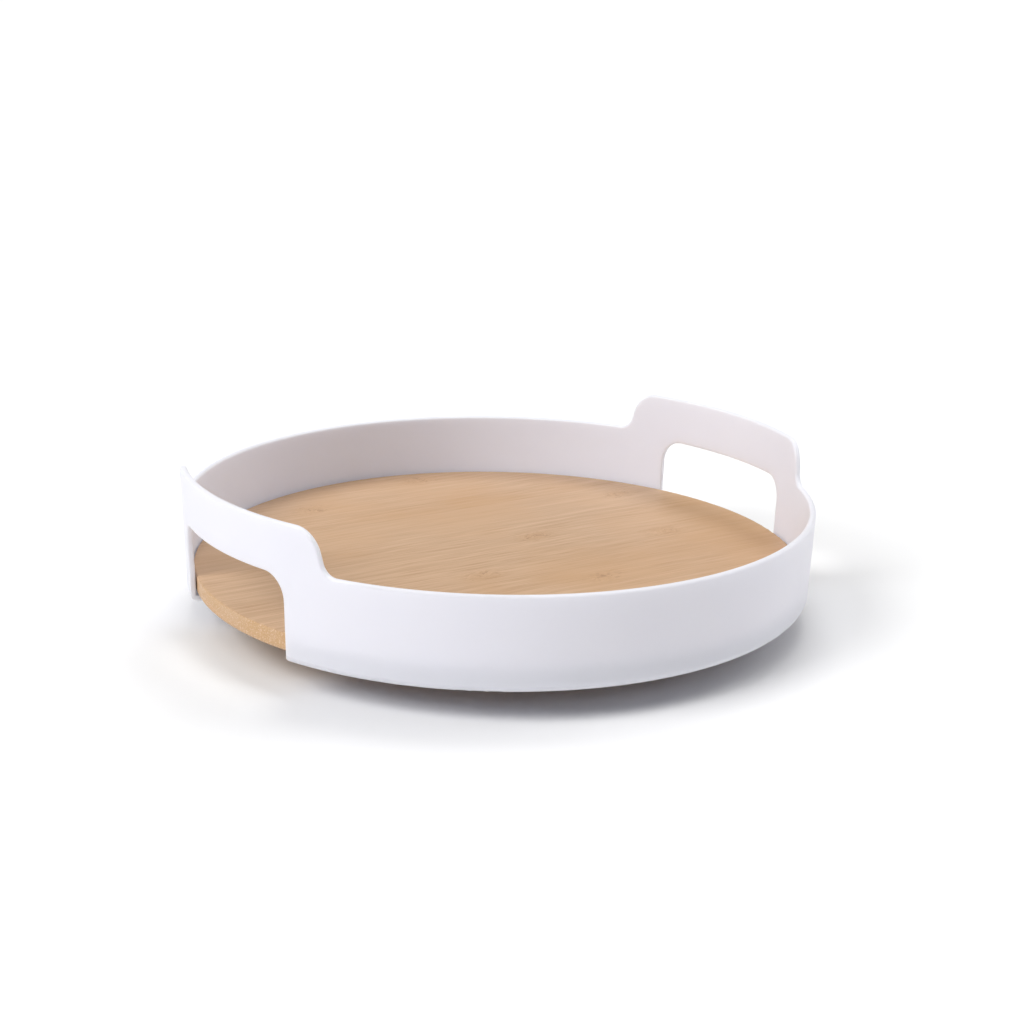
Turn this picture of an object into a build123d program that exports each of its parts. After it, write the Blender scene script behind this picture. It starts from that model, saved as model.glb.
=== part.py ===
# Lazy susan turntable: a bamboo tray with a moulded plastic rim and two carrying handles,
# turning on a pressed steel ball bearing over a small bamboo base on rubber feet.
# Millimetres.  Origin on the table at the turning axis, +Z up, handles on the X axis.
from build123d import *
import math
import os

# ---- base, feet and bearing stack -------------------------------------------------
FOOT_HEIGHT = 3.0
FOOT_RADIUS = 8.0
FOOT_CIRCLE_RADIUS = 76.0
FOOT_COUNT = 6
FOOT_EDGE = 0.9
FOOT_RECESS_RADIUS = 3.6
FOOT_RECESS_DEPTH = 2.0

BASE_RADIUS = 90.0
BASE_THICKNESS = 8.0
BASE_EDGE = 1.5
BASE_ACCESS_RADIUS = 6.5

BEARING_HEIGHT = 8.0
PLATE_SIZE = 102.0
PLATE_CORNER = 8.0
PLATE_THICKNESS = 1.0
PLATE_HOLE_OFFSET = 41.3
PLATE_HOLE_RADIUS = 2.2
RACE_OUTER_RADIUS = 46.0
RACE_STEP_OUTER = 43.8
RACE_STEP_INNER = 42.4
RACE_SHELF_HEIGHT = 2.5
COLLAR_RADIUS = 31.0
COLLAR_LIP_RADIUS = 33.6
COLLAR_LIP_HEIGHT = 6.8
UPPER_PLATE_INNER_RADIUS = 32.3

BALL_COUNT = 18
BALL_RADIUS = 2.38
BALL_CIRCLE_RADIUS = 38.0
BALL_RACE_CLEARANCE = 0.07
CAGE_THICKNESS = 0.8
CAGE_HALF_WIDTH = 3.4
CAGE_POCKET_RADIUS = 2.53

# ---- tray disc and rim ------------------------------------------------------------
DISC_RADIUS = 160.0
DISC_THICKNESS = 9.4
DISC_TOP_EDGE = 1.0
DISC_BOTTOM_EDGE = 1.5

RIM_TOP_RADIUS = 165.0
RIM_FOOT_RADIUS = 163.5
RIM_WALL = 3.2
RIM_WALL_HEIGHT = 47.4
RIM_CORNER = 4.4
RIM_CORNER_SWING = 0.2
RIM_TRIM = 8.0
RIM_LEDGE_THICKNESS = 2.8
RIM_LEDGE_INNER_RADIUS = 139.0
RIM_PAD_HEIGHT = 1.2
RIM_PAD_RADIUS = 7.0
RIM_SCREW_CIRCLE_RADIUS = 147.5
RIM_SCREW_ANGLES = (30, 70, 110, 150, 210, 250, 290, 330)
RIM_EDGE = 1.2

HANDLE_TOP_HEIGHT = 69.2
HANDLE_TOP_ANGLE = 24.2
HANDLE_ROOT_ANGLE = 26.2
HANDLE_SHOULDER = 16.0
HANDLE_ROOT_BLEND = 8.5
HANDLE_OVERLAP = 8.0
OPENING_ANGLE = 17.75
OPENING_HEIGHT = 43.4
OPENING_CORNER = 12.7
OPENING_EDGE = 0.8
INSIDE_X = 128.0
OUTSIDE_X = 175.0

# ---- screws -----------------------------------------------------------------------
SCREW_RADIUS = 1.75
SCREW_HOLE_CLEARANCE = 0.05
SCREW_TIP = 1.4
PAN_HEAD_RADIUS = 3.3
PAN_HEAD_HEIGHT = 1.8
PAN_HEAD_EDGE = 0.7
FLAT_HEAD_RADIUS = 3.7
FLAT_HEAD_HEIGHT = 2.0
DRIVE_LENGTH = 3.6
DRIVE_WIDTH = 0.8
DRIVE_DEPTH = 1.0
RIM_SCREW_LENGTH = 11.0
UPPER_SCREW_LENGTH = 8.0
LOWER_SCREW_LENGTH = 7.5
FOOT_SCREW_LENGTH = 7.0
SCREW_BORE_EXTRA = 0.3

# ---- levels above the table ---------------------------------------------------------
BASE_BOTTOM = FOOT_HEIGHT
BASE_TOP = BASE_BOTTOM + BASE_THICKNESS
DISC_BOTTOM = BASE_TOP + BEARING_HEIGHT
RIM_BOTTOM = DISC_BOTTOM - RIM_LEDGE_THICKNESS - RIM_PAD_HEIGHT
BALL_LEVEL = BASE_TOP + BEARING_HEIGHT / 2

PLATE_HOLES = [
    (PLATE_HOLE_OFFSET, PLATE_HOLE_OFFSET),
    (-PLATE_HOLE_OFFSET, PLATE_HOLE_OFFSET),
    (-PLATE_HOLE_OFFSET, -PLATE_HOLE_OFFSET),
    (PLATE_HOLE_OFFSET, -PLATE_HOLE_OFFSET),
]


def ring_point(radius, angle, level):
    """Location on a circle about the turning axis, turned to face outwards."""
    return Rot(0, 0, angle) * Pos(radius, 0, level)


# ---- screws: built pointing up, with the seat of the head at level zero ------------
def cross_recess(top):
    """Cross-shaped driver recess, cut down from the top of a head."""
    arm = Box(DRIVE_LENGTH, DRIVE_WIDTH, DRIVE_DEPTH)
    return Pos(0, 0, top) * (arm + Rot(0, 0, 90) * arm)


def shank(length):
    """Plain shank above the seat, ending in a short cone."""
    body = Cylinder(SCREW_RADIUS, length - SCREW_TIP, align=(Align.CENTER, Align.CENTER, Align.MIN))
    tip = Cone(SCREW_RADIUS, SCREW_RADIUS / 4, SCREW_TIP, align=(Align.CENTER, Align.CENTER, Align.MIN))
    return body + Pos(0, 0, length - SCREW_TIP) * tip


def pan_screw(length):
    """Round-topped screw whose head hangs below level zero."""
    head = Cylinder(PAN_HEAD_RADIUS, PAN_HEAD_HEIGHT, align=(Align.CENTER, Align.CENTER, Align.MAX))
    head = fillet(head.edges().sort_by(Axis.Z)[0], PAN_HEAD_EDGE)
    return head + shank(length) - cross_recess(-PAN_HEAD_HEIGHT)


def flat_screw(length):
    """Countersunk screw whose head face lies at level zero."""
    head = Cone(
        FLAT_HEAD_RADIUS, SCREW_RADIUS, FLAT_HEAD_HEIGHT, align=(Align.CENTER, Align.CENTER, Align.MIN)
    )
    return head + shank(length) - cross_recess(0)


def screw_hole(depth):
    """Hole that follows the shank of a screw, starting at level zero."""
    radius = SCREW_RADIUS + SCREW_HOLE_CLEARANCE
    return Cylinder(radius, depth + SCREW_BORE_EXTRA, align=(Align.CENTER, Align.CENTER, Align.MIN))


# ---- rim ----------------------------------------------------------------------------
def wall_radius(height):
    """Outer radius of the gently flared wall at a height above the rim's underside."""
    slope = (RIM_TOP_RADIUS - RIM_FOOT_RADIUS) / RIM_WALL_HEIGHT
    return RIM_FOOT_RADIUS + slope * height


def wall_section():
    """Section of the tall wall, carried below the underside so that it can be trimmed."""
    top = HANDLE_TOP_HEIGHT
    low = -RIM_TRIM
    section = Polyline(
        (wall_radius(low) - RIM_WALL, low),
        (wall_radius(low), low),
        (wall_radius(top), top),
        (wall_radius(top) - RIM_WALL, top),
        close=True,
    )
    return Plane.XZ * make_face(section)


def trim_section():
    """Section of the ring cut away below the rim, which leaves its rounded lower corner."""
    inside = RIM_LEDGE_INNER_RADIUS - RIM_TRIM
    outside = RIM_FOOT_RADIUS + RIM_TRIM
    corner = (RIM_FOOT_RADIUS + RIM_CORNER_SWING, 0)
    radius = RIM_CORNER + RIM_CORNER_SWING
    height = radius + RIM_CORNER_SWING
    section = Polyline(
        (inside, -2 * RIM_TRIM),
        (outside, -2 * RIM_TRIM),
        (outside, height),
        (corner[0], height),
        corner,
        (inside, 0),
        close=True,
    )
    face = make_face(section)
    return Plane.XZ * fillet(face.vertices().sort_by_distance(corner)[0], radius)


def half_width(angle, distance):
    """Half width of a radial shape that reaches this angle from the X axis, at a distance."""
    return distance * math.tan(math.radians(angle))


def handle_outline(distance):
    """Raised handle seen along X, at a distance from the axis, blended into the low wall."""
    top = half_width(HANDLE_TOP_ANGLE, distance)
    root = half_width(HANDLE_ROOT_ANGLE, distance)
    reach = root + 2 * HANDLE_ROOT_BLEND
    low = RIM_WALL_HEIGHT - HANDLE_OVERLAP
    outline = make_face(
        Polyline(
            (-reach, low),
            (reach, low),
            (reach, RIM_WALL_HEIGHT),
            (root, RIM_WALL_HEIGHT),
            (top, HANDLE_TOP_HEIGHT),
            (-top, HANDLE_TOP_HEIGHT),
            (-root, RIM_WALL_HEIGHT),
            (-reach, RIM_WALL_HEIGHT),
            close=True,
        )
    )
    outline = fillet(outline.vertices().group_by(Axis.Y)[-1], HANDLE_SHOULDER)
    roots = outline.vertices().filter_by_position(Axis.Y, RIM_WALL_HEIGHT, RIM_WALL_HEIGHT)
    outline = fillet(roots.sort_by(Axis.X)[1:-1], HANDLE_ROOT_BLEND)
    return Pos(distance, 0, 0) * (Plane.YZ * outline)


def opening_outline(distance):
    """Finger opening seen along X, open at the bottom, with rounded upper corners."""
    cut_height = OPENING_HEIGHT + 2 * RIM_TRIM
    width = 2 * half_width(OPENING_ANGLE, distance)
    outline = Pos(0, OPENING_HEIGHT - cut_height / 2) * Rectangle(width, cut_height)
    outline = fillet(outline.vertices().group_by(Axis.Y)[-1], OPENING_CORNER)
    return Pos(distance, 0, 0) * (Plane.YZ * outline)


def radial_block(outline):
    """Solid whose sides spread outwards from the turning axis, on the +X side."""
    return loft([outline(INSIDE_X), outline(OUTSIDE_X)], ruled=True)


def is_outline_edge(edge):
    """Edges of the wall's upper outline, above the finger openings."""
    return edge.bounding_box().min.Z > OPENING_HEIGHT + RIM_EDGE


def is_opening_edge(edge):
    """Edges where a finger opening breaks through the wall's inner and outer faces."""
    box = edge.bounding_box()
    at_side = abs(edge.center().Y) <= half_width(OPENING_ANGLE, RIM_TOP_RADIUS)
    return at_side and box.size.Z + box.size.Y > RIM_WALL and box.max.Z < OPENING_HEIGHT + RIM_EDGE


def make_wall():
    """Flared wall with its two raised handles and finger openings, all edges eased."""
    wall = revolve(wall_section(), Axis.Z)
    turned = Rot(0, 0, 180)
    handle = radial_block(handle_outline)
    opening = radial_block(opening_outline)
    low_wall = Pos(0, 0, -RIM_TRIM) * Cylinder(
        OUTSIDE_X, RIM_WALL_HEIGHT + RIM_TRIM, align=(Align.CENTER, Align.CENTER, Align.MIN)
    )
    wall = wall & (low_wall + handle + turned * handle)
    wall = wall - opening - turned * opening
    wall = fillet(wall.edges().filter_by(is_outline_edge), RIM_EDGE)
    return fillet(wall.edges().filter_by(is_opening_edge), OPENING_EDGE)


def make_ledge():
    """Flat ring under the disc, which the finger openings cut into two arcs."""
    depth = RIM_LEDGE_THICKNESS + RIM_TRIM
    ledge = Cylinder(RIM_FOOT_RADIUS - RIM_WALL / 2, depth, align=(Align.CENTER, Align.CENTER, Align.MAX))
    middle = Cylinder(RIM_LEDGE_INNER_RADIUS, depth, align=(Align.CENTER, Align.CENTER, Align.MAX))
    ring = Pos(0, 0, RIM_LEDGE_THICKNESS) * (ledge - middle)
    opening = radial_block(opening_outline)
    return ring - opening - Rot(0, 0, 180) * opening


def make_rim():
    wall = make_wall() + make_ledge() - revolve(trim_section(), Axis.Z)
    pad = Cylinder(RIM_PAD_RADIUS, RIM_PAD_HEIGHT, align=(Align.CENTER, Align.CENTER, Align.MIN))
    sink = Cone(
        FLAT_HEAD_RADIUS + SCREW_HOLE_CLEARANCE,
        SCREW_RADIUS + SCREW_HOLE_CLEARANCE,
        FLAT_HEAD_HEIGHT,
        align=(Align.CENTER, Align.CENTER, Align.MIN),
    )
    for angle in RIM_SCREW_ANGLES:
        wall = wall + ring_point(RIM_SCREW_CIRCLE_RADIUS, angle, RIM_LEDGE_THICKNESS) * pad
        wall = wall - ring_point(RIM_SCREW_CIRCLE_RADIUS, angle, 0) * (screw_hole(RIM_SCREW_LENGTH) + sink)
    return Pos(0, 0, RIM_BOTTOM) * wall


# ---- tray disc and base disc --------------------------------------------------------
def plate_screw_holes(depth):
    """Four screw holes on the bearing plates' square pattern, from level zero up."""
    return [Pos(x, y, 0) * screw_hole(depth) for x, y in PLATE_HOLES]


def make_tray_disc():
    disc = Cylinder(DISC_RADIUS, DISC_THICKNESS, align=(Align.CENTER, Align.CENTER, Align.MIN))
    disc = fillet(disc.edges().group_by(Axis.Z)[-1], DISC_TOP_EDGE)
    disc = fillet(disc.edges().group_by(Axis.Z)[0], DISC_BOTTOM_EDGE)
    rim_seat = RIM_LEDGE_THICKNESS + RIM_PAD_HEIGHT
    for angle in RIM_SCREW_ANGLES:
        disc = disc - ring_point(RIM_SCREW_CIRCLE_RADIUS, angle, -rim_seat) * screw_hole(RIM_SCREW_LENGTH)
    for hole in plate_screw_holes(UPPER_SCREW_LENGTH):
        disc = disc - Pos(0, 0, -PLATE_THICKNESS) * hole
    return Pos(0, 0, DISC_BOTTOM) * disc


def foot_locations():
    """Places of the feet round the base, starting between the handles' axis and its sides."""
    step = 360 / FOOT_COUNT
    return [ring_point(FOOT_CIRCLE_RADIUS, step * (index + 0.5), 0) for index in range(FOOT_COUNT)]


def make_base_disc():
    base = Cylinder(BASE_RADIUS, BASE_THICKNESS, align=(Align.CENTER, Align.CENTER, Align.MIN))
    base = fillet(base.edges().group_by(Axis.Z)[-1], BASE_EDGE)
    base = fillet(base.edges().group_by(Axis.Z)[0], BASE_EDGE)
    access = Cylinder(BASE_ACCESS_RADIUS, BASE_THICKNESS, align=(Align.CENTER, Align.CENTER, Align.MIN))
    base = base - Pos(PLATE_HOLE_OFFSET * 2**0.5, 0, 0) * access
    for hole in plate_screw_holes(LOWER_SCREW_LENGTH - PLATE_THICKNESS):
        base = base - Pos(0, 0, BASE_THICKNESS) * Rot(180, 0, 0) * hole
    foot_web = FOOT_HEIGHT - FOOT_RECESS_DEPTH
    for place in foot_locations():
        base = base - place * screw_hole(FOOT_SCREW_LENGTH - foot_web)
    return Pos(0, 0, BASE_BOTTOM) * base


# ---- ball bearing -------------------------------------------------------------------
def race_arc():
    """Centre line of the pressed ball groove, under the middle of a ball."""
    reach = BALL_RADIUS + BALL_RACE_CLEARANCE + PLATE_THICKNESS / 2
    middle = BEARING_HEIGHT / 2
    drop = middle - RACE_SHELF_HEIGHT
    half_span = (reach**2 - drop**2) ** 0.5
    start = (BALL_CIRCLE_RADIUS + half_span, RACE_SHELF_HEIGHT)
    lowest = (BALL_CIRCLE_RADIUS, middle - reach)
    end = (BALL_CIRCLE_RADIUS - half_span, RACE_SHELF_HEIGHT)
    return start, lowest, end


def pressed_ring(inner_line):
    """Raised middle of a plate: flange level, step up, ball groove, then the inner line."""
    start, lowest, end = race_arc()
    outer_line = Polyline(
        (RACE_OUTER_RADIUS + PLATE_THICKNESS, PLATE_THICKNESS / 2),
        (RACE_STEP_OUTER, PLATE_THICKNESS / 2),
        (RACE_STEP_INNER, RACE_SHELF_HEIGHT),
        start,
    )
    groove = ThreePointArc(start, lowest, end)
    line = Wire(outer_line.edges() + groove.edges() + Polyline(end, *inner_line).edges())
    section = trace(line, PLATE_THICKNESS)
    return revolve(Plane.XZ * section, Axis.Z)


def plate_flange():
    """Flat square plate with rounded corners, a round middle and four screw holes."""
    outline = RectangleRounded(PLATE_SIZE, PLATE_SIZE, PLATE_CORNER) - Circle(RACE_OUTER_RADIUS)
    for x, y in PLATE_HOLES:
        outline = outline - Pos(x, y) * Circle(PLATE_HOLE_RADIUS)
    return extrude(outline, amount=PLATE_THICKNESS)


def make_bearing_lower_plate():
    """Plate on the base, with the collar that is rolled over the upper plate's edge."""
    collar = [
        (COLLAR_RADIUS, RACE_SHELF_HEIGHT),
        (COLLAR_RADIUS, COLLAR_LIP_HEIGHT),
        (COLLAR_LIP_RADIUS, COLLAR_LIP_HEIGHT),
    ]
    return Pos(0, 0, BASE_TOP) * (plate_flange() + pressed_ring(collar))


def make_bearing_upper_plate():
    """Plate under the tray disc, the same pressing turned over, with a short inner edge."""
    plate = plate_flange() + pressed_ring([(UPPER_PLATE_INNER_RADIUS, RACE_SHELF_HEIGHT)])
    return Pos(0, 0, DISC_BOTTOM) * Rot(180, 0, 0) * plate


def ball_locations():
    step = 360 / BALL_COUNT
    return [ring_point(BALL_CIRCLE_RADIUS, step * index, BALL_LEVEL) for index in range(BALL_COUNT)]


def make_ball_cage():
    outer = Cylinder(BALL_CIRCLE_RADIUS + CAGE_HALF_WIDTH, CAGE_THICKNESS)
    inner = Cylinder(BALL_CIRCLE_RADIUS - CAGE_HALF_WIDTH, CAGE_THICKNESS)
    cage = Pos(0, 0, BALL_LEVEL) * (outer - inner)
    for place in ball_locations():
        cage = cage - place * Cylinder(CAGE_POCKET_RADIUS, CAGE_THICKNESS)
    return cage


# ---- feet and screw groups ------------------------------------------------------------
def make_foot():
    """Rubber foot with a recess underneath for the head of its screw."""
    foot = Cylinder(FOOT_RADIUS, FOOT_HEIGHT, align=(Align.CENTER, Align.CENTER, Align.MIN))
    foot = fillet(foot.edges().group_by(Axis.Z)[0], FOOT_EDGE)
    recess = Cylinder(FOOT_RECESS_RADIUS, FOOT_RECESS_DEPTH, align=(Align.CENTER, Align.CENTER, Align.MIN))
    return foot - recess - screw_hole(FOOT_HEIGHT)


def make_foot_screws():
    screw = pan_screw(FOOT_SCREW_LENGTH)
    return [place * Pos(0, 0, FOOT_RECESS_DEPTH) * screw for place in foot_locations()]


def make_rim_screws():
    screw = flat_screw(RIM_SCREW_LENGTH)
    return [ring_point(RIM_SCREW_CIRCLE_RADIUS, angle, RIM_BOTTOM) * screw for angle in RIM_SCREW_ANGLES]


def make_upper_plate_screws():
    screw = pan_screw(UPPER_SCREW_LENGTH)
    return [Pos(x, y, DISC_BOTTOM - PLATE_THICKNESS) * screw for x, y in PLATE_HOLES]


def make_lower_plate_screws():
    screw = Rot(180, 0, 0) * pan_screw(LOWER_SCREW_LENGTH)
    return [Pos(x, y, BASE_TOP + PLATE_THICKNESS) * screw for x, y in PLATE_HOLES]


# ---- write every piece ------------------------------------------------------------------
def save(name, shape):
    export_step(shape, f"parts/{name}.step")


os.makedirs("parts", exist_ok=True)
save("rim", make_rim())
save("tray_disc", make_tray_disc())
save("rim_screws", Compound(make_rim_screws()))
save("bearing_upper_plate", make_bearing_upper_plate())
save("bearing_lower_plate", make_bearing_lower_plate())
save("ball_cage", make_ball_cage())
save("upper_plate_screws", Compound(make_upper_plate_screws()))
save("lower_plate_screws", Compound(make_lower_plate_screws()))
save("base_disc", make_base_disc())
save("foot_screws", Compound(make_foot_screws()))
for number, location in enumerate(ball_locations(), start=1):
    save(f"ball_{number:02d}", location * Sphere(BALL_RADIUS))
for number, location in enumerate(foot_locations(), start=1):
    save(f"foot_{number}", location * make_foot())
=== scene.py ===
import math

import bpy
from mathutils import Matrix, Vector


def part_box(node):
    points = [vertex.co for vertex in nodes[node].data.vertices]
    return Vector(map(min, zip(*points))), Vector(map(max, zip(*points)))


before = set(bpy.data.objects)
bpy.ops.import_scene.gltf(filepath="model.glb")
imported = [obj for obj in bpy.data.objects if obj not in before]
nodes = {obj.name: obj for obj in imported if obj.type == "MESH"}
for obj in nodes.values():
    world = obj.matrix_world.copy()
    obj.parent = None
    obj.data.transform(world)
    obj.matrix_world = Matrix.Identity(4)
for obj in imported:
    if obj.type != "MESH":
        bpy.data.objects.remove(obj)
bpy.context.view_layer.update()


# ---- Feet ---------------------------------------------------------------------------
# Six rubber pads, moulded black with a fine matt skin, each held under the base board by
# one zinc-plated screw sunk in the middle. They keep the base still while the tray turns.
MM = 0.001
FOOT_COUNT = 6
RUBBER_COLOUR = (0.035, 0.035, 0.037, 1)
RUBBER_DUSTY_COLOUR = (0.075, 0.074, 0.072, 1)
RUBBER_DUST_SOURCE = (0.42, 0.68)
RUBBER_ROUGHNESS = (0.62, 0.82)
RUBBER_SKIN_DEPTH = 0.05 * MM
COLOUR_MIX_INPUTS = (0, 6, 7)
COLOUR_MIX_OUTPUT = 2


def start_finish(name, **fixed):
    """A new material whose shader has its unchanging values set on its own sockets."""
    finish = bpy.data.materials.new(name)
    finish.use_nodes = True
    shader = finish.node_tree.nodes["Principled BSDF"]
    for socket, value in fixed.items():
        shader.inputs[socket.replace("_", " ")].default_value = value
    return finish, finish.node_tree, shader


def put(tree, kind, sources=None, **settings):
    """Add a node, set its properties, and join its inputs to their sources."""
    made = tree.nodes.new(kind)
    for key, value in settings.items():
        setattr(made, key, value)
    for socket, source in (sources or {}).items():
        tree.links.new(source, made.inputs[socket])
    return made


def own_place(tree, stretch=(1, 1, 1), turn=0.0):
    """Coordinates fixed to the piece, in metres, turned about the axis and then stretched."""
    place = put(tree, "ShaderNodeTexCoord")
    turned = put(tree, "ShaderNodeMapping", {"Vector": place.outputs["Object"]})
    turned.inputs["Rotation"].default_value = (0, 0, turn)
    stretched = put(tree, "ShaderNodeMapping", {"Vector": turned.outputs["Vector"]})
    stretched.inputs["Scale"].default_value = stretch
    return stretched.outputs["Vector"]


def noise(tree, place, scale, detail=2, roughness=0.5):
    """Cloudy variation around one half; the scale is how many patches there are to a metre."""
    made = put(tree, "ShaderNodeTexNoise", {"Vector": place})
    made.inputs["Scale"].default_value = scale
    made.inputs["Detail"].default_value = detail
    made.inputs["Roughness"].default_value = roughness
    return made.outputs["Fac"]


def spread(tree, value, source=(0, 1), result=(0, 1), smooth=False):
    """Map a value from its source range to a result range, held at both ends."""
    made = put(tree, "ShaderNodeMapRange", {"Value": value})
    made.interpolation_type = "SMOOTHSTEP" if smooth else "LINEAR"
    for socket, number in zip(("From Min", "From Max", "To Min", "To Max"), (*source, *result)):
        made.inputs[socket].default_value = number
    return made.outputs["Result"]


def blend_colours(tree, share, first, second):
    """Mix of two colours; each is a fixed colour or another node's output."""
    made = tree.nodes.new("ShaderNodeMix")
    made.data_type = "RGBA"
    for socket_number, value in zip(COLOUR_MIX_INPUTS, (share, first, second)):
        if isinstance(value, bpy.types.NodeSocket):
            tree.links.new(value, made.inputs[socket_number])
        else:
            made.inputs[socket_number].default_value = value
    return made.outputs[COLOUR_MIX_OUTPUT]


def relief(tree, shader, height, depth, strength):
    """Bump of a real depth in metres from a height map."""
    bump = put(tree, "ShaderNodeBump", {"Height": height})
    bump.inputs["Distance"].default_value = depth
    bump.inputs["Strength"].default_value = strength
    tree.links.new(bump.outputs["Normal"], shader.inputs["Normal"])


def dress(finish, *names):
    """Give CAD nodes this finish in their own material slots."""
    for name in names:
        nodes[name].data.materials.clear()
        nodes[name].data.materials.append(finish)


def make_rubber():
    finish, tree, shader = start_finish("black_rubber", IOR=1.5)
    place = own_place(tree)
    dust = noise(tree, place, scale=240, detail=4, roughness=0.6)
    dust = spread(tree, dust, RUBBER_DUST_SOURCE, smooth=True)
    colour = blend_colours(tree, dust, RUBBER_COLOUR, RUBBER_DUSTY_COLOUR)
    tree.links.new(colour, shader.inputs["Base Color"])
    tree.links.new(spread(tree, dust, result=RUBBER_ROUGHNESS), shader.inputs["Roughness"])
    skin = noise(tree, place, scale=2600, detail=3, roughness=0.6)
    relief(tree, shader, skin, RUBBER_SKIN_DEPTH, strength=0.5)
    return finish


dress(make_rubber(), *[f"foot_{number}" for number in range(1, FOOT_COUNT + 1)])


# ---- Screws -------------------------------------------------------------------------
# Cross-headed wood screws, cold formed from steel wire and zinc plated: a bright bluish
# grey with a faint cloudy passivation and a very fine grain all over.
ZINC_COLOUR = (0.60, 0.61, 0.63, 1)
ZINC_CLOUD_COLOUR = (0.47, 0.48, 0.50, 1)
ZINC_CLOUD_SOURCE = (0.35, 0.7)
ZINC_ROUGHNESS = (0.26, 0.44)
ZINC_MARK_DEPTH = 0.012 * MM


def make_zinc():
    finish, tree, shader = start_finish("zinc_plated_steel", Metallic=1.0)
    place = own_place(tree)
    cloud = noise(tree, place, scale=420, detail=4, roughness=0.62)
    cloud = spread(tree, cloud, ZINC_CLOUD_SOURCE, smooth=True)
    tree.links.new(blend_colours(tree, cloud, ZINC_COLOUR, ZINC_CLOUD_COLOUR), shader.inputs["Base Color"])
    tree.links.new(spread(tree, cloud, result=ZINC_ROUGHNESS), shader.inputs["Roughness"])
    relief(tree, shader, noise(tree, place, scale=5200), ZINC_MARK_DEPTH, strength=0.4)
    return finish


dress(make_zinc(), "foot_screws", "lower_plate_screws", "upper_plate_screws", "rim_screws")


# ---- Bearing plates -----------------------------------------------------------------
# Two square plates pressed from galvanised strip.  The ball groove, the step round it and
# the collar rolled over the upper plate are formed in the press, which leaves faint rings.
GALVANISED_COLOUR = (0.50, 0.51, 0.52, 1)
SPANGLE_COLOUR = (0.40, 0.41, 0.43, 1)
SPANGLES_PER_METRE = 190
SPANGLE_CLOUD_SOURCE = (0.35, 0.65)
SPANGLE_CLOUD_SHARE = (0.4, 1.0)
SPANGLE_RELIEF = 0.6
GALVANISED_ROUGHNESS = (0.30, 0.46)
PRESS_RINGS_PER_METRE = 900
PRESS_RING_DEPTH = 0.004 * MM


def maths(tree, operation, first, second=0.0, clamp=False):
    """One Math node; each operand is a number or another node's output."""
    made = tree.nodes.new("ShaderNodeMath")
    made.operation = operation
    made.use_clamp = clamp
    for slot_number, value in enumerate((first, second)):
        if isinstance(value, (int, float)):
            made.inputs[slot_number].default_value = value
        else:
            tree.links.new(value, made.inputs[slot_number])
    return made.outputs[0]


def make_galvanised():
    finish, tree, shader = start_finish("galvanised_plate", Metallic=1.0)
    place = own_place(tree)
    spangle = put(tree, "ShaderNodeTexVoronoi", {"Vector": place})
    spangle.inputs["Scale"].default_value = SPANGLES_PER_METRE
    shade = put(tree, "ShaderNodeSeparateColor", {"Color": spangle.outputs["Color"]}).outputs[0]
    cloud = noise(tree, place, scale=60, detail=3, roughness=0.6)
    cloud = spread(tree, cloud, SPANGLE_CLOUD_SOURCE, SPANGLE_CLOUD_SHARE)
    share = maths(tree, "MULTIPLY", shade, cloud, clamp=True)
    tree.links.new(blend_colours(tree, share, GALVANISED_COLOUR, SPANGLE_COLOUR), shader.inputs["Base Color"])
    tree.links.new(spread(tree, share, result=GALVANISED_ROUGHNESS), shader.inputs["Roughness"])
    flat = own_place(tree, stretch=(1, 1, 0))
    reach = put(tree, "ShaderNodeVectorMath", {0: flat}, operation="LENGTH").outputs["Value"]
    rings = maths(tree, "SINE", maths(tree, "MULTIPLY", reach, PRESS_RINGS_PER_METRE * math.tau))
    height = maths(tree, "ADD", rings, maths(tree, "MULTIPLY", shade, SPANGLE_RELIEF))
    relief(tree, shader, height, PRESS_RING_DEPTH, strength=0.35)
    return finish


dress(make_galvanised(), "bearing_lower_plate", "bearing_upper_plate")


# ---- Balls and their cage -----------------------------------------------------------
# Hardened steel balls, ground and lightly oiled, spaced by a thin black nylon ring that
# floats between the two plates.
BALL_COUNT = 18
BALL_COLOUR = (0.70, 0.70, 0.71, 1)
BALL_OILED_COLOUR = (0.58, 0.56, 0.52, 1)
BALL_OIL_SOURCE = (0.4, 0.7)
BALL_ROUGHNESS = (0.06, 0.17)
NYLON_COLOUR = (0.030, 0.030, 0.033, 1)
NYLON_GREY_COLOUR = (0.055, 0.055, 0.058, 1)
NYLON_FLOW_SOURCE = (0.35, 0.7)
NYLON_ROUGHNESS = (0.38, 0.52)
NYLON_SKIN_DEPTH = 0.01 * MM


def make_ball_steel():
    finish, tree, shader = start_finish("ground_ball_steel", Metallic=1.0)
    place = own_place(tree)
    oil = noise(tree, place, scale=700, detail=3, roughness=0.6)
    oil = spread(tree, oil, BALL_OIL_SOURCE, smooth=True)
    tree.links.new(blend_colours(tree, oil, BALL_COLOUR, BALL_OILED_COLOUR), shader.inputs["Base Color"])
    tree.links.new(spread(tree, oil, result=BALL_ROUGHNESS), shader.inputs["Roughness"])
    return finish


def make_nylon():
    finish, tree, shader = start_finish("black_nylon", IOR=1.53)
    place = own_place(tree)
    flow = noise(tree, place, scale=300, detail=3, roughness=0.55)
    flow = spread(tree, flow, NYLON_FLOW_SOURCE)
    tree.links.new(blend_colours(tree, flow, NYLON_COLOUR, NYLON_GREY_COLOUR), shader.inputs["Base Color"])
    tree.links.new(spread(tree, flow, result=NYLON_ROUGHNESS), shader.inputs["Roughness"])
    relief(tree, shader, noise(tree, place, scale=3600), NYLON_SKIN_DEPTH, strength=0.4)
    return finish


dress(make_ball_steel(), *[f"ball_{number:02d}" for number in range(1, BALL_COUNT + 1)])
dress(make_nylon(), "ball_cage")


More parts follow.
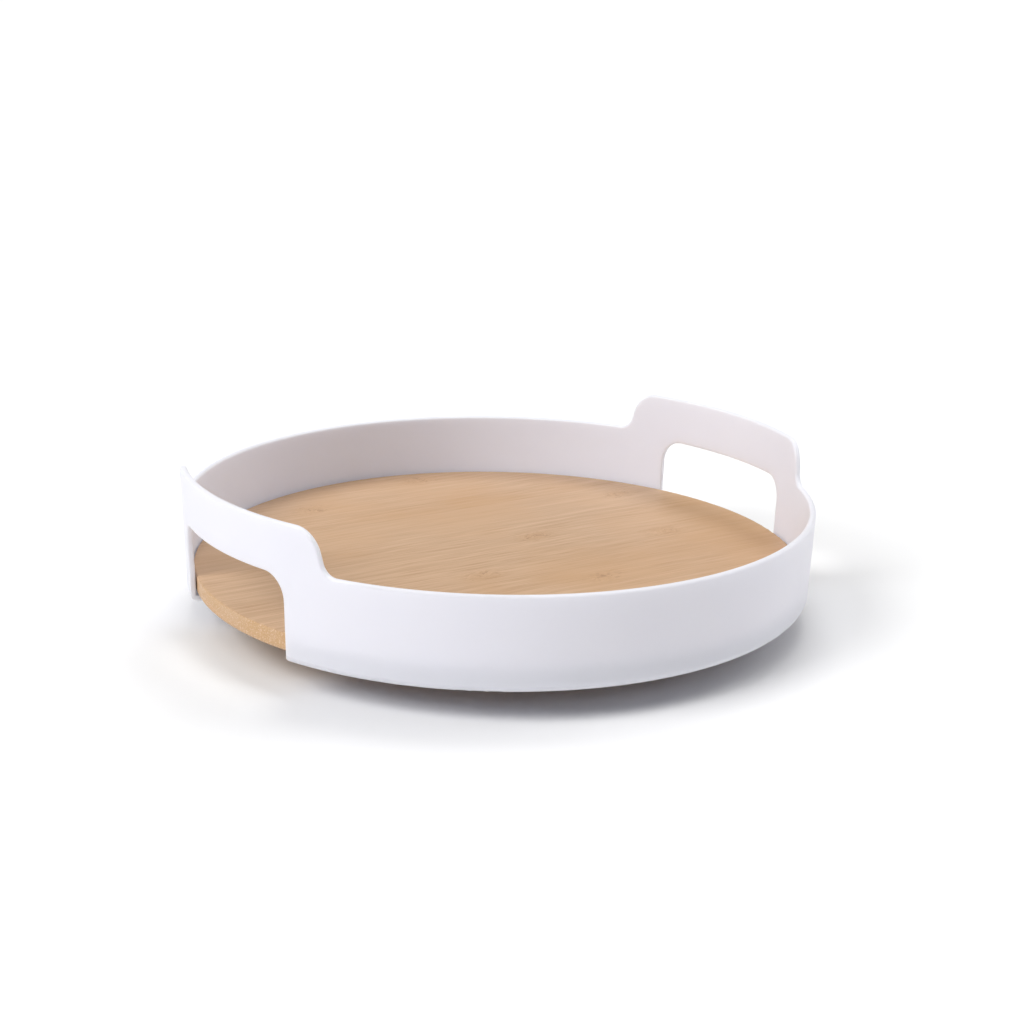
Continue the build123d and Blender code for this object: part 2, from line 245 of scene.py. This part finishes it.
# ---- Bamboo boards ------------------------------------------------------------------
# Both boards are turned from laminated bamboo: strips about 20 mm wide glued edge to edge,
# planed, sanded and given a thin clear satin lacquer.  Each strip shows fine fibre lines
# along its length and, where the cane had a joint, a small swirled knuckle.
STRIP_WIDTH = 0.0195
GRAIN_TURN = math.radians(3.0)
BAMBOO_COLOUR = (0.505, 0.330, 0.203, 1)
BAMBOO_PALE_COLOUR = (0.600, 0.408, 0.265, 1)
BAMBOO_FIBRE_COLOUR = (0.400, 0.240, 0.132, 1)
BAMBOO_WARM_COLOUR = (0.540, 0.325, 0.172, 1)
BAMBOO_KNUCKLE_COLOUR = (0.330, 0.190, 0.105, 1)
BAMBOO_END_COLOUR = (0.600, 0.360, 0.170, 1)
BAMBOO_END_SPOT_COLOUR = (0.780, 0.600, 0.440, 1)
GLUE_LINE_COLOUR = (0.340, 0.200, 0.112, 1)
GLUE_LINE_SOURCE = (0.485, 0.5)
GLUE_LINE_SHARE = (0, 0.30)
FINE_FIBRE_SIZE = (0.030, 0.00075)
FINE_FIBRE_SOURCE = (0.47, 0.74)
FINE_FIBRE_SHARE = (0, 0.90)
BROAD_FIBRE_SIZE = (0.10, 0.0036)
BROAD_FIBRE_SOURCE = (0.36, 0.64)
WARM_SOURCE = (0.45, 0.70)
WARM_SHARE = (0, 0.70)
STRIP_TONE_SHARE = (0, 0.34)
STRIP_SHIFT = 3.0
GRAIN_WANDER = 0.006
KNUCKLE_SWIRL = 0.014
KNUCKLE_WARMTH = 0.35
KNUCKLE_DARKNESS = 0.85
SPECK_SIZE = (0.004, 0.0009)
SPECK_SOURCE = (0.50, 0.70)
END_SOURCE = (0.35, 0.75)
END_SHARE = (0.75, 0)
END_SPOT_SOURCE = (0.30, 0.50)
END_TONE_SOURCE = (0.42, 0.62)
END_TONE_SHARE = (0, 0.55)
LACQUER_SOURCE = (0.3, 0.7)
LACQUER_ROUGHNESS = (0.42, 0.56)
FIBRE_RELIEF = 0.8
GLUE_LINE_RELIEF = 1.2
GRAIN_DEPTH = 0.04 * MM
KNUCKLE_REACH = 0.012
KNUCKLE_STRETCH = (0.62, 1, 0)
TRAY_KNUCKLES = (
    (-0.046, 0.120), (0.040, 0.139), (0.124, 0.054), (0.033, 0.013), (0.024, -0.061),
    (-0.029, -0.026), (0.099, -0.018), (-0.112, 0.040), (-0.088, -0.083), (0.070, -0.120),
)
BASE_KNUCKLES = ((-0.052, 0.031), (0.041, 0.052), (0.018, -0.046), (-0.020, -0.008), (0.066, 0.004))


def make_bamboo(name, knuckles):
    """Laminated bamboo; knuckles are the places of the cane joints on the face, in metres."""
    finish, tree, shader = start_finish(name, IOR=1.48, Specular_IOR_Level=0.35)
    place = own_place(tree, turn=GRAIN_TURN)
    axes = put(tree, "ShaderNodeSeparateXYZ", {"Vector": place})

    knuckle = None
    for x, y in knuckles:
        long_place = own_place(tree, stretch=KNUCKLE_STRETCH)
        away = put(tree, "ShaderNodeVectorMath", {0: long_place}, operation="DISTANCE")
        away.inputs[1].default_value = (x * KNUCKLE_STRETCH[0], y, 0)
        mark = spread(tree, away.outputs["Value"], (0, KNUCKLE_REACH), (1, 0), smooth=True)
        knuckle = mark if knuckle is None else maths(tree, "MAXIMUM", knuckle, mark)

    swirl = noise(tree, place, scale=170)
    swirl_share = maths(tree, "MULTIPLY", knuckle, KNUCKLE_SWIRL)
    shift = maths(tree, "MULTIPLY", maths(tree, "SUBTRACT", swirl, 0.5), swirl_share)
    drift = noise(tree, place, scale=9, detail=1)
    wander = maths(tree, "MULTIPLY", maths(tree, "SUBTRACT", drift, 0.5), GRAIN_WANDER)
    across = maths(tree, "ADD", maths(tree, "ADD", axes.outputs["Y"], shift), wander)

    strip = maths(tree, "DIVIDE", axes.outputs["Y"], STRIP_WIDTH)
    number = maths(tree, "FLOOR", strip)
    hashed = put(tree, "ShaderNodeTexWhiteNoise", {"W": number}, noise_dimensions="1D")
    tone = hashed.outputs["Value"]
    along = maths(tree, "ADD", axes.outputs["X"], maths(tree, "MULTIPLY", tone, STRIP_SHIFT))

    def fibres(size, detail, roughness):
        """Streaks of a length and width in metres, one to a patch, which show as dots on the ends."""
        run, width = size
        lines = put(tree, "ShaderNodeCombineXYZ", {
            "X": maths(tree, "DIVIDE", along, run),
            "Y": maths(tree, "DIVIDE", across, width),
            "Z": maths(tree, "DIVIDE", axes.outputs["Z"], width),
        })
        return noise(tree, lines.outputs["Vector"], 1, detail, roughness)

    fine = fibres(FINE_FIBRE_SIZE, detail=2, roughness=0.65)
    broad = fibres(BROAD_FIBRE_SIZE, detail=3, roughness=0.6)
    cloud = noise(tree, place, scale=11)

    pale_share = spread(tree, broad, BROAD_FIBRE_SOURCE)
    colour = blend_colours(tree, pale_share, BAMBOO_COLOUR, BAMBOO_PALE_COLOUR)
    fibre_share = spread(tree, fine, FINE_FIBRE_SOURCE, FINE_FIBRE_SHARE)
    colour = blend_colours(tree, fibre_share, colour, BAMBOO_FIBRE_COLOUR)
    warm_share = spread(tree, cloud, WARM_SOURCE, WARM_SHARE)
    colour = blend_colours(tree, warm_share, colour, BAMBOO_WARM_COLOUR)
    strip_share = spread(tree, tone, result=STRIP_TONE_SHARE)
    colour = blend_colours(tree, strip_share, colour, BAMBOO_PALE_COLOUR)

    specks = spread(tree, fibres(SPECK_SIZE, detail=2, roughness=0.6), SPECK_SOURCE, smooth=True)
    knuckle_share = maths(tree, "MULTIPLY", knuckle, KNUCKLE_WARMTH)
    colour = blend_colours(tree, knuckle_share, colour, BAMBOO_WARM_COLOUR)
    dark_share = maths(tree, "MULTIPLY", maths(tree, "MULTIPLY", knuckle, specks), KNUCKLE_DARKNESS)
    colour = blend_colours(tree, dark_share, colour, BAMBOO_KNUCKLE_COLOUR)

    from_middle = maths(tree, "ABSOLUTE", maths(tree, "SUBTRACT", maths(tree, "FRACT", strip), 0.5))
    glue = spread(tree, from_middle, GLUE_LINE_SOURCE, GLUE_LINE_SHARE, smooth=True)
    colour = blend_colours(tree, glue, colour, GLUE_LINE_COLOUR)

    facing = put(tree, "ShaderNodeNewGeometry")
    upright = put(tree, "ShaderNodeSeparateXYZ", {"Vector": facing.outputs["Normal"]})
    flatness = maths(tree, "ABSOLUTE", upright.outputs["Z"])
    edge = spread(tree, flatness, END_SOURCE, END_SHARE, smooth=True)
    colour = blend_colours(tree, edge, colour, BAMBOO_END_COLOUR)
    spots = spread(tree, fine, END_SPOT_SOURCE, (1, 0), smooth=True)
    patches = spread(tree, noise(tree, place, scale=38), END_TONE_SOURCE, END_TONE_SHARE, smooth=True)
    end_tone = maths(tree, "MULTIPLY", edge, patches)
    colour = blend_colours(tree, end_tone, colour, BAMBOO_PALE_COLOUR)
    colour = blend_colours(tree, maths(tree, "MULTIPLY", spots, edge), colour, BAMBOO_END_SPOT_COLOUR)
    tree.links.new(colour, shader.inputs["Base Color"])

    lacquer = spread(tree, fine, LACQUER_SOURCE, LACQUER_ROUGHNESS)
    tree.links.new(lacquer, shader.inputs["Roughness"])
    raised = maths(tree, "MULTIPLY", fine, FIBRE_RELIEF)
    sunk = maths(tree, "MULTIPLY", glue, GLUE_LINE_RELIEF)
    relief(tree, shader, maths(tree, "SUBTRACT", raised, sunk), GRAIN_DEPTH, strength=0.5)
    return finish


dress(make_bamboo("bamboo_base", BASE_KNUCKLES), "base_disc")
dress(make_bamboo("bamboo_tray", TRAY_KNUCKLES), "tray_disc")


# ---- Rim ----------------------------------------------------------------------------
# One injection moulding in white ABS: the wall, both raised handles and the ledge under
# the board come out of the tool together.  The skin is a fine satin spark texture, and the
# wall is thin enough to let a little light through.
RIM_COLOUR = (0.800, 0.806, 0.912, 1)
RIM_FLOW_COLOUR = (0.780, 0.786, 0.894, 1)
RIM_VARIATION_SOURCE = (0.3, 0.7)
RIM_ROUGHNESS = (0.40, 0.52)
RIM_GRAIN_DEPTH = 0.01 * MM


def make_white_abs():
    finish, tree, shader = start_finish(
        "white_abs",
        IOR=1.5,
        Specular_IOR_Level=0.45,
        Subsurface_Weight=0.8,
        Subsurface_Scale=0.0075,
        Subsurface_Radius=(1, 1, 1),
    )
    place = own_place(tree)
    flow = spread(tree, noise(tree, place, scale=16, detail=3), RIM_VARIATION_SOURCE)
    tree.links.new(blend_colours(tree, flow, RIM_COLOUR, RIM_FLOW_COLOUR), shader.inputs["Base Color"])
    grain = noise(tree, place, scale=1900)
    tree.links.new(spread(tree, grain, RIM_VARIATION_SOURCE, RIM_ROUGHNESS), shader.inputs["Roughness"])
    relief(tree, shader, grain, RIM_GRAIN_DEPTH, strength=0.35)
    return finish


dress(make_white_abs(), "rim")


# ---- Table, lights and camera -------------------------------------------------------
# A plain pale studio floor that sweeps up into a low wall a long way off, under large soft
# studio lights.
FLOOR_RADIUS = 25.0
SWEEP_RADIUS = 2.0
SWEEP_STEPS = 12
FLOOR_SECTORS = 96
FLOOR_COLOUR = (0.94, 0.94, 0.94, 1)
FLOOR_PATCH_COLOUR = (0.93, 0.93, 0.93, 1)


def make_floor():
    outline = [(FLOOR_RADIUS, 0.0)]
    for step in range(1, SWEEP_STEPS + 1):
        turn = 0.5 * math.pi * step / SWEEP_STEPS
        outline.append((FLOOR_RADIUS + SWEEP_RADIUS * math.sin(turn), SWEEP_RADIUS * (1 - math.cos(turn))))
    corners = []
    for reach, level in outline:
        for sector in range(FLOOR_SECTORS):
            turn = math.tau * sector / FLOOR_SECTORS
            corners.append((reach * math.cos(turn), reach * math.sin(turn), level))
    faces = [tuple(range(FLOOR_SECTORS))]
    for step in range(SWEEP_STEPS):
        for sector in range(FLOOR_SECTORS):
            near = step * FLOOR_SECTORS
            after = (sector + 1) % FLOOR_SECTORS
            far = near + FLOOR_SECTORS
            faces.append((near + sector, far + sector, far + after, near + after))
    mesh = bpy.data.meshes.new("floor")
    mesh.from_pydata(corners, [], faces)
    floor = bpy.data.objects.new("floor", mesh)
    bpy.context.scene.collection.objects.link(floor)
    finish, tree, shader = start_finish("pale_table", Roughness=0.7, Specular_IOR_Level=0.2)
    patch = noise(tree, own_place(tree), scale=3)
    tree.links.new(blend_colours(tree, patch, FLOOR_COLOUR, FLOOR_PATCH_COLOUR), shader.inputs["Base Color"])
    floor.data.materials.append(finish)


make_floor()

RIM_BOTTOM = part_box("rim")[0].z
CAMERA_PLACE = Vector((-0.5327, -0.7496, 0.3160 + RIM_BOTTOM))
CAMERA_AIM = Vector((0.00547, -0.00389, 0.0361 + RIM_BOTTOM))
CAMERA_ROLL = 0.0224
CAMERA_LENS = 63.87
CAMERA_SENSOR = 36.0
CAMERA_NEAREST = 0.05

camera_data = bpy.data.cameras.new("camera")
camera_data.lens = CAMERA_LENS
camera_data.sensor_width = CAMERA_SENSOR
camera_data.clip_start = CAMERA_NEAREST
camera = bpy.data.objects.new("camera", camera_data)
bpy.context.scene.collection.objects.link(camera)
look = (CAMERA_AIM - CAMERA_PLACE).to_track_quat("-Z", "Y").to_matrix().to_4x4()
camera.matrix_world = Matrix.Translation(CAMERA_PLACE) @ look @ Matrix.Rotation(CAMERA_ROLL, 4, "Z")
bpy.context.scene.camera = camera


# Large softboxes stand so far off that each lights the whole table evenly.  A bearing is
# measured to the right of the camera's own bearing, and a height is an angle above the table.
SOFTBOX_SPREAD = math.radians(33)
CAMERA_BEARING = math.atan2(CAMERA_PLACE.y, CAMERA_PLACE.x)


def add_softbox(name, bearing, height, strength):
    """One distant softbox; angles in degrees, strength in watts per square metre."""
    turn = CAMERA_BEARING + math.radians(bearing)
    rise = math.radians(height)
    towards = Vector((math.cos(rise) * math.cos(turn), math.cos(rise) * math.sin(turn), math.sin(rise)))
    light = bpy.data.lights.new(name, "SUN")
    light.angle = SOFTBOX_SPREAD
    light.energy = strength
    box = bpy.data.objects.new(name, light)
    box.rotation_euler = towards.to_track_quat("Z", "Y").to_euler()
    bpy.context.scene.collection.objects.link(box)


add_softbox("key_softbox", bearing=-62, height=42, strength=2.00)
add_softbox("overhead_softbox", bearing=-20, height=66, strength=0.65)
add_softbox("side_softbox", bearing=116, height=22, strength=0.62)
add_softbox("high_side_softbox", bearing=108, height=55, strength=0.45)
add_softbox("high_back_softbox", bearing=170, height=60, strength=1.10)

ROOM_COLOUR = (1.0, 1.0, 1.0, 1)
ROOM_STRENGTH = 0.06

world = bpy.data.worlds.new("studio")
bpy.context.scene.world = world
world.use_nodes = True
room = world.node_tree.nodes["Background"]
room.inputs["Color"].default_value = ROOM_COLOUR
room.inputs["Strength"].default_value = ROOM_STRENGTH
bpy.context.scene.view_settings.view_transform = "Standard"
